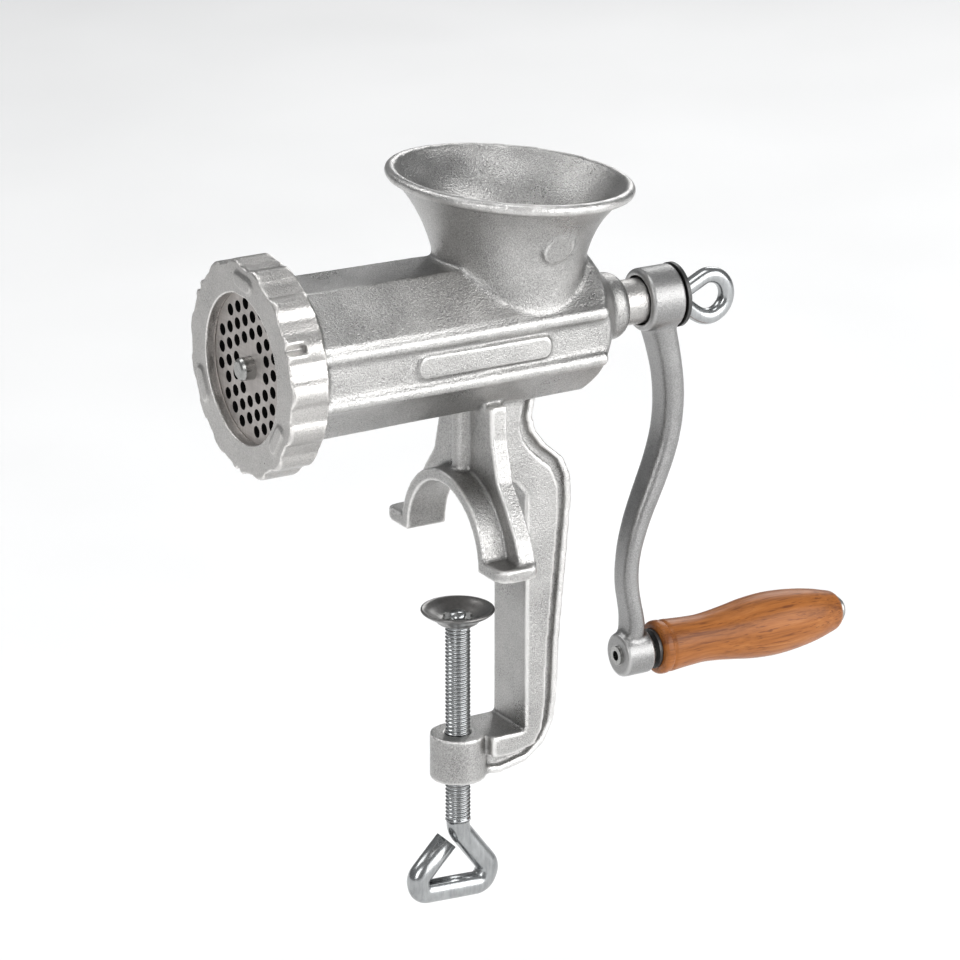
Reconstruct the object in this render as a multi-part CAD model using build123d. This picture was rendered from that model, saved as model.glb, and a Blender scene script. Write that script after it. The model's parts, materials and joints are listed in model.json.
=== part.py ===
"""Hand crank meat grinder, size 8, with a table clamp. Millimetres, +Z up.

The origin is where the clamp screw's axis meets the plane of the two clamp feet, which is the
table top. +X runs along the barrel from the outlet to the crank, and the table comes in from -X.
"""
import os
from math import ceil, cos, pi, radians, sin, sqrt
from build123d import *

# ---- driving dimensions -------------------------------------------------------------------
AXIS_Z = 82.0              # barrel axis above the table top

# outlet: ring nut, perforated disc, knife
RING_FRONT = -87.0         # front face of the ring nut
RING_DEPTH = 15.0
RING_R = 37.7              # body of the ring nut, between its grip lobes
RING_LOBES = 15
LOBE_R = 6.6               # rounding of one grip lobe
LOBE_PITCH_R = 32.9        # circle that the lobe centres lie on
NOTCH_TURN = 65.0          # first of the three spanner notches, degrees from the top
RING_LIP = 4.0             # inward lip that holds the disc
OPENING_R = 27.0
LUG_COUNT = 3              # raised wear lugs on the ring's front face
THREAD_GAP = 0.3           # space between the ring nut and the head of the barrel
HEAD_R = 34.6
HEAD_FRONT = RING_FRONT + RING_LIP + 0.6
HEAD_LENGTH = 13.0
DISC_R = 30.8
DISC_THICK = 4.5
DISC_FRONT = RING_FRONT + RING_LIP + 0.1
DISC_HOLE_R = 2.15
DISC_HOLE_PITCH = 6.35
DISC_BOSS_R = 8.0          # plain middle of the disc
DISC_HOLE_LIMIT = 23.6     # farthest hole centre
DISC_TURN = 5.0            # the hole pattern is turned this many degrees
KEY_PIN_R = 2.0
KEY_PIN_LENGTH = 9.0
CHAMBER_R = 29.4           # knife chamber behind the disc
KNIFE_R = 26.5
KNIFE_THICK = 3.0
KNIFE_HUB_R = 9.0
KNIFE_HUB_THICK = 7.0
KNIFE_BLADES = 4
KNIFE_BACK = DISC_FRONT + DISC_THICK + 0.1 + KNIFE_HUB_THICK
STUD_R = 4.15              # journal of the stud in the disc
STUD_SQUARE = 9.4          # its square in the knife
STUD_ROOT_R = 4.5          # its root in the feed screw
STUD_ROOT = 18.0           # length of that root

# barrel and feed screw
BARREL_R_FRONT = 29.6      # corner radius of the eight-sided barrel at the outlet
BARREL_R_REAR = 28.2
BARREL_REAR = 50.4
BORE_R = 22.6
BORE_REAR = 42.0
SCREW_GAP = 0.35           # between the feed screw's flight and the bore
FLIGHT_PITCH = 25.0
FLIGHT_THICK = 4.0
CORE_R_FRONT = 11.0
CORE_R_REAR = 8.5
SHAFT_R = 8.4
SHAFT_GAP = 0.08           # running clearance of the shaft in the rear bearing
RAIL_R = 3.0
BOSS_R = 13.0
BOSS_FACE = 66.8

# hopper
HOPPER_X = 21.6
RIM_TILT = 4.5             # the rim leans down towards the crank
RIM_RX = 42.0              # mouth of the hopper along the barrel
RIM_RY = 46.0              # and across it
RIM_BEAD_R = 2.2
HOPPER_WALL = 3.0
THROAT_R = 20.5
BADGE_AIM = (0.06, -0.99, -0.45)    # square to the hopper's wall at the badge
BADGE_HEIGHT = 35.5
BADGE_RADIUS = 31.2

# drive end and crank
STUB_END = 78.7            # where the round stub ends inside the crank hub
SQUARE = 11.0
SQUARE_END = 88.0
HUB_R = 11.8
HUB_NEAR = 75.7
HUB_LENGTH = 14.3
CRANK_DROP = 137.3         # crank axis to grip axis
LOWER_HUB_R = 8.4
LOWER_HUB_NEAR = 68.6
LOWER_HUB_LENGTH = 12.1
EYE_ROD_R = 3.0
EYE_R = 7.9                # centre line of the eye
EYE_REACH = 14.3           # from the washer to the middle of the eye
EYE_DROP = 2.2             # the eye is bent to one side of the shank
EYE_THREAD_R = 3.9
EYE_THREAD = 18.0          # depth of the thread in the shaft
CRANK_WASHER_R = 12.0
CRANK_WASHER_THICK = 1.4
HUB_FAR = HUB_NEAR + HUB_LENGTH
WASHER_NEAR = HUB_FAR + 0.3
WASHER_FAR = WASHER_NEAR + CRANK_WASHER_THICK
GRIP_Z = AXIS_Z - CRANK_DROP

# grip
AXLE_R = 3.0
GRIP_START = 84.2
GRIP_LENGTH = 81.0
GRIP_BORE_R = 3.08
GRIP_R_INNER = 10.2        # the end beside the crank
GRIP_R_NECK = 9.1
GRIP_R_BELLY = 12.2
GRIP_R_END = 6.6
GRIP_WASHER_SPAN = 1.5     # washer and the small gap beside the grip
GRIP_WASHER_THICK = 1.2

# clamp frame
SPINE_INNER = 21.8         # face of the spine that the table edge meets
SPINE_HALF = 12.0
SPINE_WEB_HALF = 3.5
SPINE_RIM_HALF = 5.5
SPINE_RIM_THICK = 3.0
SPINE_GROOVE = 9.0         # from the outer edge in to the thick wall
ARCH_R = 25.6
JAW_HALF = 42.5
JAW_FRONT = -6.5
JAW_BACK = 10.0
JAW_LIP = 4.8              # thickness of the feet and of the lip over the arch
PLATE_FRONT = 3.0
ARM_TOP = -72.0
ARM_BOTTOM = -90.5
ROD_BOSS_R = 10.4
ROD_BOSS_BOTTOM = -89.4

# clamp screw and pad
ROD_R = 4.75
ROD_GAP = 0.1
ROD_BEND_R = 4.3           # the bent part of the rod is a little thinner than the thread
PAD_TOP = -23.4
PAD_R = 13.6
SPIGOT_R = 3.0             # rod end that the pad turns on
PAD_SHEET = 1.6
PAD_DEPTH = 4.2
THREAD_END = -106.5

os.makedirs("parts", exist_ok=True)


def save(shape, name):
    """Write one node."""
    export_step(shape, f"parts/{name}.step")
    print(f"{name:22s} solids {len(shape.solids())} volume {shape.volume:10.1f}")


def x_rod(radius, start, end, y=0.0, z=AXIS_Z):
    """A cylinder along X from start to end."""
    turned = Plane(origin=(start, y, z), z_dir=(1, 0, 0))
    return extrude(turned * Circle(radius), end - start)


def z_rod(radius, bottom, top, x=0.0, y=0.0):
    """A cylinder along Z from bottom to top."""
    return extrude(Plane(origin=(x, y, bottom)) * Circle(radius), top - bottom)


def block(low, high):
    """A box between two corners."""
    size = [b - a for a, b in zip(low, high)]
    middle = [(a + b) / 2 for a, b in zip(low, high)]
    return Pos(*middle) * Box(*size)


def about_axis(points):
    """Turn an outline of (x, radius) points about the barrel axis into a solid."""
    face = make_face(Polyline([(x, 0, AXIS_Z + r) for x, r in points], close=True))
    return revolve(face, Axis((0, 0, AXIS_Z), (1, 0, 0)))


def side_plate(outline, half):
    """A plate in the XZ plane, from -half to +half in Y, from a closed (x, z) outline."""
    face = make_face(Polyline([(x, -half, z) for x, z in outline], close=True))
    return extrude(face, 2 * half, dir=(0, 1, 0))


def octagon(x, corner_r):
    """Eight-sided section with a flat on top, at x."""
    section = Plane(origin=(x, 0, AXIS_Z), x_dir=(0, 1, 0), z_dir=(1, 0, 0))
    return section * RegularPolygon(corner_r, 8, rotation=22.5)


# ---- body casting -------------------------------------------------------------------------
# height above the barrel axis, half-lengths along X and Y, and lean of each hopper section
HOPPER_SECTIONS = [(10.0, 26.6, 26.6, 0.0), (23.0, 26.9, 26.9, 0.0), (31.0, 28.9, 29.1, 1.2),
                   (38.5, 31.8, 32.6, 2.4), (46.5, 36.6, 38.6, 3.6), (53.6, RIM_RX, RIM_RY, RIM_TILT)]


def leaning_plane(height, lean):
    """A plane across the hopper at a height above the barrel axis, leaning down towards +X."""
    turn = radians(lean)
    return Plane(origin=(HOPPER_X, 0, AXIS_Z + height), x_dir=(cos(turn), 0, -sin(turn)),
                 z_dir=(sin(turn), 0, cos(turn)))


def hopper_ring(height, half_x, half_y, lean):
    """One section of the hopper, an oval when its two half-lengths differ."""
    if abs(half_x - half_y) < 0.01:
        return leaning_plane(height, lean) * Circle(half_x)
    return leaning_plane(height, lean) * Ellipse(half_x, half_y)


def hopper_outside():
    """The solid trumpet of the hopper."""
    return loft([hopper_ring(*section) for section in HOPPER_SECTIONS])


def hopper_inside():
    """The space inside the hopper, from the throat to above the rim."""
    rings = [hopper_ring(h, x - HOPPER_WALL, y - HOPPER_WALL, lean) for h, x, y, lean in HOPPER_SECTIONS[1:]]
    top_h, top_x, top_y, top_lean = HOPPER_SECTIONS[-1]
    rings.append(hopper_ring(top_h + 3, top_x - HOPPER_WALL + 1.5, top_y - HOPPER_WALL + 1.5, top_lean))
    neck = loft([hopper_ring(8, THROAT_R, THROAT_R, 0),
                 hopper_ring(24.2, 26.8 - HOPPER_WALL, 26.8 - HOPPER_WALL, 0)])
    return [loft(rings), neck, z_rod(THROAT_R, AXIS_Z, AXIS_Z + 9, x=HOPPER_X)]


def hopper_rim():
    """The rolled bead around the mouth."""
    h, half_x, half_y, lean = HOPPER_SECTIONS[-1]
    path = (leaning_plane(h, lean) * Ellipse(half_x - 0.3, half_y - 0.3)).edges()[0]
    return sweep(Plane(origin=tuple(path @ 0), z_dir=tuple(path % 0)) * Circle(RIM_BEAD_R), path)


def barrel_outside():
    """Eight-sided barrel, side rails, threaded head and rear shoulder."""
    shell = loft([octagon(HEAD_FRONT + HEAD_LENGTH, BARREL_R_FRONT), octagon(BARREL_REAR, BARREL_R_REAR)])
    head_back = HEAD_FRONT + HEAD_LENGTH
    head = about_axis([(HEAD_FRONT, 0), (HEAD_FRONT, HEAD_R), (head_back - 4, HEAD_R),
                       (head_back + 3, BARREL_R_FRONT - 2), (head_back + 3, 0)])
    rounding = about_axis([(HEAD_FRONT, 0), (HEAD_FRONT, 40), (BARREL_REAR - 9, 31), (BARREL_REAR - 5, 28.6),
                           (BARREL_REAR - 1.5, 25.4), (BARREL_REAR + 2, 21.0), (BARREL_REAR + 4.5, 17.2),
                           (BARREL_REAR + 6.5, 14.6), (BARREL_REAR + 8.5, BOSS_R),
                           (BOSS_FACE - 3, BOSS_R - 0.7), (BOSS_FACE - 0.8, 10.9), (BOSS_FACE, 9.6),
                           (BOSS_FACE, 0)])
    shoulder = x_rod(25.4, BARREL_REAR - 3, BOSS_FACE) & rounding
    shell &= rounding
    rails = []
    for side in (-1, 1):
        for height in (7.4, -9.9):
            rail = x_rod(RAIL_R, HEAD_FRONT + HEAD_LENGTH - 2, BARREL_REAR - 6, side * 25.6, AXIS_Z + height)
            rail_end = Pos(BARREL_REAR - 6, side * 25.6, AXIS_Z + height) * Sphere(RAIL_R)
            rails += [rail, rail_end]
    return [shell, head, shoulder] + rails


def bore_tools():
    """Everything cut out of the barrel: disc seat, knife chamber, bore and rear bearing."""
    seat = x_rod(DISC_R + 0.3, HEAD_FRONT - 1, DISC_FRONT + DISC_THICK + 0.1)
    bore_front = DISC_FRONT + DISC_THICK + KNIFE_HUB_THICK + 1.5
    chamber = about_axis([(HEAD_FRONT - 1, 0), (HEAD_FRONT - 1, CHAMBER_R), (bore_front - 3, CHAMBER_R),
                          (bore_front + 4, BORE_R), (BORE_REAR, BORE_R), (BORE_REAR, SHAFT_R + SHAFT_GAP),
                          (BOSS_FACE + 1, SHAFT_R + SHAFT_GAP), (BOSS_FACE + 1, 0)])
    return [seat, chamber]


def spine_edge(inset):
    """Outer edge of the spine and lower arm in XZ, from the arm's boss up to the barrel."""
    return [(8, ARM_BOTTOM + 1.6 + inset), (15, ARM_BOTTOM + 0.9 + inset), (26, -87.2 + inset),
            (34 - inset * 0.7, -81 + inset * 0.7), (38 - inset, -73), (39.4 - inset, -63),
            (40.2 - inset, -42), (45 - inset, 12), (44.6 - inset, 22), (41.6 - inset, 29),
            (34.2 - inset, 35.4), (29.8 - inset, 41.5), (28.4 - inset, 47), (30.5 - inset, AXIS_Z - 24)]


def clamp_frame():
    """Spine, lower arm and jaw of the table clamp."""
    top = AXIS_Z - 24
    front = [(PLATE_FRONT + 2, top), (PLATE_FRONT + 2, 30), (JAW_BACK - 1, 27), (SPINE_INNER - 4, 25),
             (SPINE_INNER, 20), (SPINE_INNER, ARM_TOP), (8, ARM_TOP)]
    wall = side_plate(front + spine_edge(SPINE_GROOVE), SPINE_HALF)
    web = side_plate(front[:1] + front[4:] + spine_edge(1.0), SPINE_WEB_HALF)
    rim = side_plate(front[4:] + spine_edge(0.0) + [(SPINE_INNER, top)], SPINE_RIM_HALF)
    rim -= side_plate(front[4:] + spine_edge(SPINE_RIM_THICK) + [(SPINE_INNER, top + 1)], 40)
    boss = z_rod(ROD_BOSS_R, ROD_BOSS_BOTTOM, ARM_TOP)
    return [wall, web, rim, boss] + jaw()


def jaw():
    """The flared plate, the lip over the arch and the two feet."""
    half_outline = [(19, AXIS_Z - 24), (19.4, 46), (23.4, 31), (30.5, 22), (36.5, 13), (40.4, 3), (40.4, 0)]
    outline = half_outline + [(-y, z) for y, z in reversed(half_outline)]
    face = make_face(Polyline([(PLATE_FRONT, y, z) for y, z in outline], close=True))
    plate = extrude(face, JAW_BACK - PLATE_FRONT, dir=(1, 0, 0))
    arch_lip = x_rod(ARCH_R + JAW_LIP, JAW_FRONT, JAW_BACK, z=0)
    arch_lip &= block((JAW_FRONT, -40, 0), (JAW_BACK, 40, 40))
    feet = block((JAW_FRONT, -JAW_HALF, 0), (JAW_BACK, JAW_HALF, JAW_LIP))
    feet = fillet([e for e in feet.edges().filter_by(Axis.Z)], 4.0)
    rib = block((PLATE_FRONT - 4.5, -3.2, ARCH_R + 2), (PLATE_FRONT + 1, 3.2, AXIS_Z - 24))
    rib = fillet(rib.edges().filter_by(Axis.Z).group_by(Axis.X)[0], 2.6)
    return [plate, arch_lip, feet, rib]


def side_marks():
    """Plain raised panel on the barrel's side and a plain round boss on the hopper."""
    panel = block((-31, -28.2, AXIS_Z - 5.3), (23, -20, AXIS_Z + 2.9))
    panel = fillet(panel.edges().filter_by(Axis.Y), 3.5)
    outward = Vector(*BADGE_AIM).normalized()
    sideways = Vector(outward.X, outward.Y, 0).normalized()
    centre = Vector(HOPPER_X, 0, AXIS_Z + BADGE_HEIGHT) + sideways * BADGE_RADIUS
    badge = extrude(Plane(origin=tuple(centre - outward * 6), z_dir=tuple(outward)) * Circle(6.4), 6.8)
    return [panel, badge]


def body_casting():
    """Hopper, barrel and clamp frame are one casting."""
    solid = Part() + hopper_outside()
    for piece in barrel_outside() + clamp_frame() + side_marks() + [hopper_rim()]:
        solid += piece
    for tool in hopper_inside() + bore_tools():
        solid -= tool
    solid -= x_rod(ARCH_R, JAW_FRONT - 1, JAW_BACK + 1, z=0)
    solid -= z_rod(ROD_R + ROD_GAP, ROD_BOSS_BOTTOM - 1, ARM_TOP + 1)
    solid -= key_pin()
    return solid


def key_pin():
    """The peg that keeps the disc from turning."""
    start = DISC_FRONT + 0.8
    return x_rod(KEY_PIN_R, start, start + KEY_PIN_LENGTH, z=AXIS_Z + DISC_R - 0.6)


# ---- outlet -------------------------------------------------------------------------------
def around(radius, angle):
    """Y and Z of a point on a circle about the barrel axis, angle in degrees from the top towards -Y."""
    return -radius * sin(radians(angle)), AXIS_Z + radius * cos(radians(angle))


def ring_nut():
    """Lobed ring with an inward lip, screwed over the head of the barrel."""
    back = RING_FRONT + RING_DEPTH
    body = x_rod(RING_R, RING_FRONT, back)
    for number in range(RING_LOBES):
        y, z = around(LOBE_PITCH_R, NOTCH_TURN + 360 / RING_LOBES * number)
        body += x_rod(LOBE_R, RING_FRONT, back, y, z)
    bevel = LOBE_PITCH_R + LOBE_R
    body &= about_axis([(RING_FRONT, 0), (RING_FRONT, bevel - 0.9), (RING_FRONT + 0.9, bevel + 0.1),
                        (back - 1.6, bevel + 0.1), (back, bevel - 1.6), (back, 0)])
    for number in range(LUG_COUNT):
        angle = 360 / LUG_COUNT * number
        y, z = around(32.2, angle + 5)
        turn = radians(angle + 5)
        lug = Plane(origin=(RING_FRONT + 1, y, z), x_dir=(0, cos(turn), sin(turn)), z_dir=(-1, 0, 0))
        body += extrude(lug * SlotOverall(13, 5.0), 1.8)
        y, z = around(bevel + 1.2, angle + NOTCH_TURN)
        body -= Pos(RING_FRONT, y, z) * Rot(45 + angle + NOTCH_TURN, 0, 0) * Box(15, 5.6, 5.6)
    body -= x_rod(HEAD_R + THREAD_GAP, RING_FRONT + RING_LIP, back + 1)
    body -= x_rod(OPENING_R, RING_FRONT - 3, RING_FRONT + RING_LIP + 1)
    return body


def disc_holes():
    """Centres of the disc's holes: a triangular field without its middle, columns upright."""
    centres = []
    steps = ceil(DISC_HOLE_LIMIT / DISC_HOLE_PITCH) + 2
    turn = radians(DISC_TURN)
    for column in range(-steps, steps + 1):
        for row in range(-steps, steps + 1):
            up = (row + 0.5 * (column % 2)) * DISC_HOLE_PITCH
            across = column * DISC_HOLE_PITCH * sqrt(3) / 2
            if DISC_BOSS_R < sqrt(across ** 2 + up ** 2) < DISC_HOLE_LIMIT:
                centres.append((across * cos(turn) - up * sin(turn), across * sin(turn) + up * cos(turn)))
    return centres


def perforated_disc():
    """Hardened disc with drilled holes, a centre bore and a notch for the key pin."""
    face = Plane(origin=(DISC_FRONT, 0, AXIS_Z), x_dir=(0, 1, 0), z_dir=(1, 0, 0))
    outline = Circle(DISC_R) - Circle(STUD_R + 0.06)
    outline -= [Pos(a, b) * Circle(DISC_HOLE_R) for a, b in disc_holes()]
    outline -= Pos(0, DISC_R) * Rectangle(2 * KEY_PIN_R + 0.8, 2 * (KEY_PIN_R + 0.9))
    return extrude(face * outline, DISC_THICK)


def cross_knife():
    """Four flat blades on a hub with a square hole, cutting against the back of the disc."""
    front = DISC_FRONT + DISC_THICK + 0.1
    face = Plane(origin=(front, 0, AXIS_Z), x_dir=(0, 1, 0), z_dir=(1, 0, 0))
    blade = Polyline([(-2.2, 0), (-4.4, 20), (-2.0, KNIFE_R), (4.6, KNIFE_R - 1.2), (4.0, 0)], close=True)
    shape = extrude(face * Circle(KNIFE_HUB_R), KNIFE_HUB_THICK)
    for number in range(KNIFE_BLADES):
        turned = Rot(0, 0, 360 / KNIFE_BLADES * number + 20) * make_face(blade)
        shape += extrude(face * turned, KNIFE_THICK)
    shape -= extrude(face * Rectangle(STUD_SQUARE + 0.1, STUD_SQUARE + 0.1), KNIFE_HUB_THICK)
    return shape


def auger_stud():
    """Square drive for the knife and round journal for the disc, screwed into the feed screw."""
    disc_back = DISC_FRONT + DISC_THICK
    face = Plane(origin=(disc_back + 0.2, 0, AXIS_Z), x_dir=(0, 1, 0), z_dir=(1, 0, 0))
    square = extrude(face * Rectangle(STUD_SQUARE, STUD_SQUARE), KNIFE_BACK - disc_back - 0.2)
    square &= x_rod(6.2, disc_back - 1, KNIFE_BACK + 5)
    tip = RING_FRONT - 1.2
    journal = about_axis([(tip, 0), (tip, STUD_R - 1.3), (tip + 0.5, STUD_R - 0.6), (tip + 1.4, STUD_R),
                          (disc_back + 1, STUD_R), (disc_back + 1, 0)])
    root = x_rod(STUD_ROOT_R, KNIFE_BACK, KNIFE_BACK + STUD_ROOT)
    return square + journal + root


def feed_screw():
    """Tapered core with a helical flight, a thrust shoulder and the drive shaft."""
    front = KNIFE_BACK
    core = about_axis([(front, 0), (front, CORE_R_FRONT), (BORE_REAR - 6, CORE_R_REAR + 1.5),
                       (BORE_REAR - 4, 14.5), (BORE_REAR - 1.7, 14.5), (BORE_REAR - 1.7, SHAFT_R),
                       (STUB_END, SHAFT_R), (STUB_END, 0)])
    square = extrude(Plane(origin=(STUB_END - 0.5, 0, AXIS_Z), x_dir=(0, 1, 0), z_dir=(1, 0, 0))
                     * Rectangle(SQUARE, SQUARE), SQUARE_END - STUB_END + 0.5)
    square = chamfer(square.faces().sort_by(Axis.X)[-1].edges(), 0.8)
    shape = core + square + helical_flight(front + 1.0, BORE_REAR - 6.5)
    shape -= x_rod(STUD_ROOT_R, front - 1, KNIFE_BACK + STUD_ROOT + 0.2)
    shape -= x_rod(EYE_THREAD_R + 0.1, SQUARE_END - EYE_THREAD - 6, SQUARE_END + 1)
    return shape


def helical_flight(start, end):
    """One continuous flight, swept along a helix about the barrel axis."""
    radius = (BORE_R - SCREW_GAP + CORE_R_FRONT - 3) / 2
    height = end - start - FLIGHT_THICK
    begin_x = start + FLIGHT_THICK / 2
    path = Helix(FLIGHT_PITCH, height, radius, center=(begin_x, 0, AXIS_Z), direction=(1, 0, 0))
    outer = BORE_R - SCREW_GAP - radius
    inner = radius - (CORE_R_REAR - 1)
    begin = path @ 0
    outward = Vector(0, begin.Y, begin.Z - AXIS_Z).normalized()
    profile_plane = Plane(origin=tuple(begin), x_dir=tuple(outward), z_dir=tuple(path % 0))
    half = FLIGHT_THICK / 2
    profile = make_face(Polyline([(-inner, -half * 1.35), (outer, -half * 0.6), (outer, half * 0.6),
                                  (-inner, half * 1.35)], close=True))
    return sweep(profile_plane * profile, path, is_frenet=True)


def thrust_washer():
    """Washer between the feed screw's shoulder and the rear wall of the barrel."""
    hole = x_rod(SHAFT_R + 0.02, BORE_REAR - 3, BORE_REAR + 1)
    return x_rod(14.5, BORE_REAR - 1.7, BORE_REAR - 0.1) - hole


# ---- crank --------------------------------------------------------------------------------
# centre line of the crank arm: x, height above the barrel axis, thickness along X, width along Y
ARM_STATIONS = [(83.4, -7.0, 10.0, 16.0), (86.5, -19.0, 9.5, 14.8), (89.0, -33.0, 9.0, 13.8),
                (89.1, -45.0, 8.7, 13.3), (86.8, -57.5, 8.3, 12.9), (81.6, -71.5, 7.9, 12.4),
                (75.9, -85.5, 7.3, 11.6), (72.7, -98.0, 6.8, 10.8), (72.5, -112.0, 6.8, 10.8),
                (74.3, -130.0, 7.8, 11.6)]


def crank_arm():
    """S-shaped cast arm with a hub at the top and a small boss for the grip axle."""
    sections = []
    for number, (x, z, thick, width) in enumerate(ARM_STATIONS):
        before = ARM_STATIONS[max(number - 1, 0)]
        after = ARM_STATIONS[min(number + 1, len(ARM_STATIONS) - 1)]
        along = Vector(after[0] - before[0], 0, after[1] - before[1]).normalized()
        station = Plane(origin=(x, 0, AXIS_Z + z), x_dir=(0, 1, 0), z_dir=tuple(along))
        sections.append(station * RectangleRounded(width, thick, thick * 0.42))
    arm = loft(sections)
    hub = about_axis([(HUB_NEAR, 0), (HUB_NEAR, HUB_R - 1), (HUB_NEAR + 1, HUB_R), (HUB_FAR - 0.8, HUB_R),
                      (HUB_FAR, HUB_R - 0.8), (HUB_FAR, 0)])
    small_hub = x_rod(LOWER_HUB_R, LOWER_HUB_NEAR, LOWER_HUB_NEAR + LOWER_HUB_LENGTH, z=GRIP_Z)
    small_hub = fillet(small_hub.edges().filter_by(GeomType.CIRCLE), 1.2)
    shape = arm + hub + small_hub
    shape -= x_rod(SHAFT_R + 0.8, HUB_NEAR - 1, STUB_END)
    shape -= block((HUB_NEAR, -SQUARE / 2 - 0.1, AXIS_Z - SQUARE / 2 - 0.1),
                   (HUB_FAR + 1, SQUARE / 2 + 0.1, AXIS_Z + SQUARE / 2 + 0.1))
    shape -= x_rod(AXLE_R, LOWER_HUB_NEAR - 1, LOWER_HUB_NEAR + LOWER_HUB_LENGTH + 1, z=GRIP_Z)
    return shape


def crank_washer():
    """Flat washer between the crank hub and the eye screw."""
    hole = x_rod(EYE_THREAD_R + 0.08, HUB_FAR, WASHER_FAR + 1)
    return x_rod(CRANK_WASHER_R, WASHER_NEAR, WASHER_FAR) - hole


def eye_screw():
    """Rod bent into an eye, with a thread that pulls the crank against the shaft's shoulder."""
    start = WASHER_FAR + 0.05
    centre = start + EYE_REACH
    shank = x_rod(EYE_THREAD_R, SQUARE_END - EYE_THREAD, start + 0.5)
    collar = x_rod(5.6, start, start + 2.2)
    rod_z = AXIS_Z - 0.6
    eye_z = rod_z - EYE_DROP
    neck = (start + 1.5, 0, rod_z)
    tip_place = (start + 4.8, 0, rod_z - 4.8)
    angles = [pi - 0.95 - step * (2 * pi - 1.9) / 10 for step in range(11)]
    loop_points = [(centre + EYE_R * cos(a), 0, eye_z + EYE_R * sin(a)) for a in angles]
    path = Spline([neck, (start + 5.0, 0, rod_z + 1.9)] + loop_points + [tip_place])
    section = Plane(origin=neck, z_dir=tuple(path % 0)) * Circle(EYE_ROD_R)
    loop = sweep(section, path)
    tip = Pos(*tip_place) * Sphere(EYE_ROD_R)
    return shank + collar + loop + tip


def grip_axle():
    """Headed rod riveted into the crank's small boss, with a hollow riveted end."""
    near = LOWER_HUB_NEAR
    far = GRIP_START + GRIP_LENGTH
    rod = x_rod(AXLE_R, near - 0.8, far + 1.6, z=GRIP_Z)
    rivet = x_rod(AXLE_R + 0.6, near - 0.9, near, z=GRIP_Z)
    head = x_rod(AXLE_R + 1.3, far + 1.5, far + 3.0, z=GRIP_Z)
    head = fillet(head.edges().filter_by(GeomType.CIRCLE).group_by(Axis.X)[-1], 1.0)
    shoulder = x_rod(AXLE_R + 1.6, near + LOWER_HUB_LENGTH, GRIP_START - GRIP_WASHER_SPAN, z=GRIP_Z)
    hollow = x_rod(1.9, near - 2, near + 5, z=GRIP_Z)
    return rod + rivet + shoulder + head - hollow


def grip_washer(start, outer):
    """Steel washer at one end of the grip."""
    end = start + GRIP_WASHER_THICK
    return x_rod(outer, start, end, z=GRIP_Z) - x_rod(AXLE_R, start - 1, end + 1, z=GRIP_Z)


def wooden_grip():
    """Turned wooden handle, free on its axle: a waist near the crank, then a long belly."""
    far = GRIP_START + GRIP_LENGTH
    profile = [(1.2, GRIP_R_INNER), (0.11 * GRIP_LENGTH, 9.7), (0.25 * GRIP_LENGTH, GRIP_R_NECK),
               (0.42 * GRIP_LENGTH, 10.6), (0.61 * GRIP_LENGTH, GRIP_R_BELLY), (0.76 * GRIP_LENGTH, 11.5),
               (0.89 * GRIP_LENGTH, 9.7), (GRIP_LENGTH - 1.5, GRIP_R_END + 1.0)]
    curve = Spline([(GRIP_START + x, 0, GRIP_Z + r) for x, r in profile])
    start_edge = Line((GRIP_START, 0, GRIP_Z + GRIP_R_INNER - 1.2), curve @ 0)
    end_edge = Line(curve @ 1, (far, 0, GRIP_Z + GRIP_R_END))
    inner = Polyline([(far, 0, GRIP_Z + GRIP_R_END), (far, 0, GRIP_Z + GRIP_BORE_R),
                      (GRIP_START, 0, GRIP_Z + GRIP_BORE_R), (GRIP_START, 0, GRIP_Z + GRIP_R_INNER - 1.2)])
    face = make_face([start_edge, curve, end_edge, inner])
    return revolve(face, Axis((0, 0, GRIP_Z), (1, 0, 0)))


# ---- clamp screw --------------------------------------------------------------------------
def clamp_screw():
    """Threaded rod with its lower end bent into a three-cornered loop."""
    spigot_top = PAD_TOP - PAD_DEPTH + 2.6
    rod_top = PAD_TOP - PAD_DEPTH - PAD_SHEET - 0.3
    rod = z_rod(ROD_R, THREAD_END, rod_top)
    spigot = z_rod(SPIGOT_R, rod_top - 1, spigot_top)
    corners = [(0, 0, THREAD_END + 3), (0, 0, THREAD_END - 4), (12.9, 0, THREAD_END - 21.2),
               (10, 0, THREAD_END - 27.6), (-15.8, 0, THREAD_END - 26.4), (-17.4, 0, THREAD_END - 20.6),
               (-4.9, 0, THREAD_END - 7.7)]
    path = FilletPolyline(corners, radius=[8, 4.6, 4.6, 3.4, 4.4])
    bend = sweep(Plane(origin=corners[0], z_dir=(0, 0, -1)) * Circle(ROD_BEND_R), path)
    return rod + spigot + bend


def clamp_pad():
    """Dished sheet-steel pad with a raised socket that turns on the screw's spigot."""
    top = PAD_TOP
    low = PAD_TOP - PAD_DEPTH
    under = low - PAD_SHEET
    hole_r = SPIGOT_R + 0.08
    outline = [(hole_r, low), (5.2, low), (8.6, low + 1.6), (11.8, top - 0.5), (12.4, top), (PAD_R, top),
               (PAD_R, top - 0.9), (12.2, top - 1.9), (8.9, low - 0.1), (6.4, under), (hole_r, under)]
    face = make_face(Polyline([(r, 0, z) for r, z in outline], close=True))
    return revolve(face, Axis.Z)


def pad_lock_washer():
    """Toothed push-on washer that keeps the pad on the spigot."""
    bottom = PAD_TOP - PAD_DEPTH + 0.3
    shape = z_rod(4.6, bottom, bottom + 0.9)
    for number in range(6):
        tooth = Rot(0, 0, 60 * number) * block((4.0, -1.1, bottom), (5.6, 1.1, bottom + 0.9))
        shape += tooth
    return shape - z_rod(SPIGOT_R, bottom - 1, bottom + 2)


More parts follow.
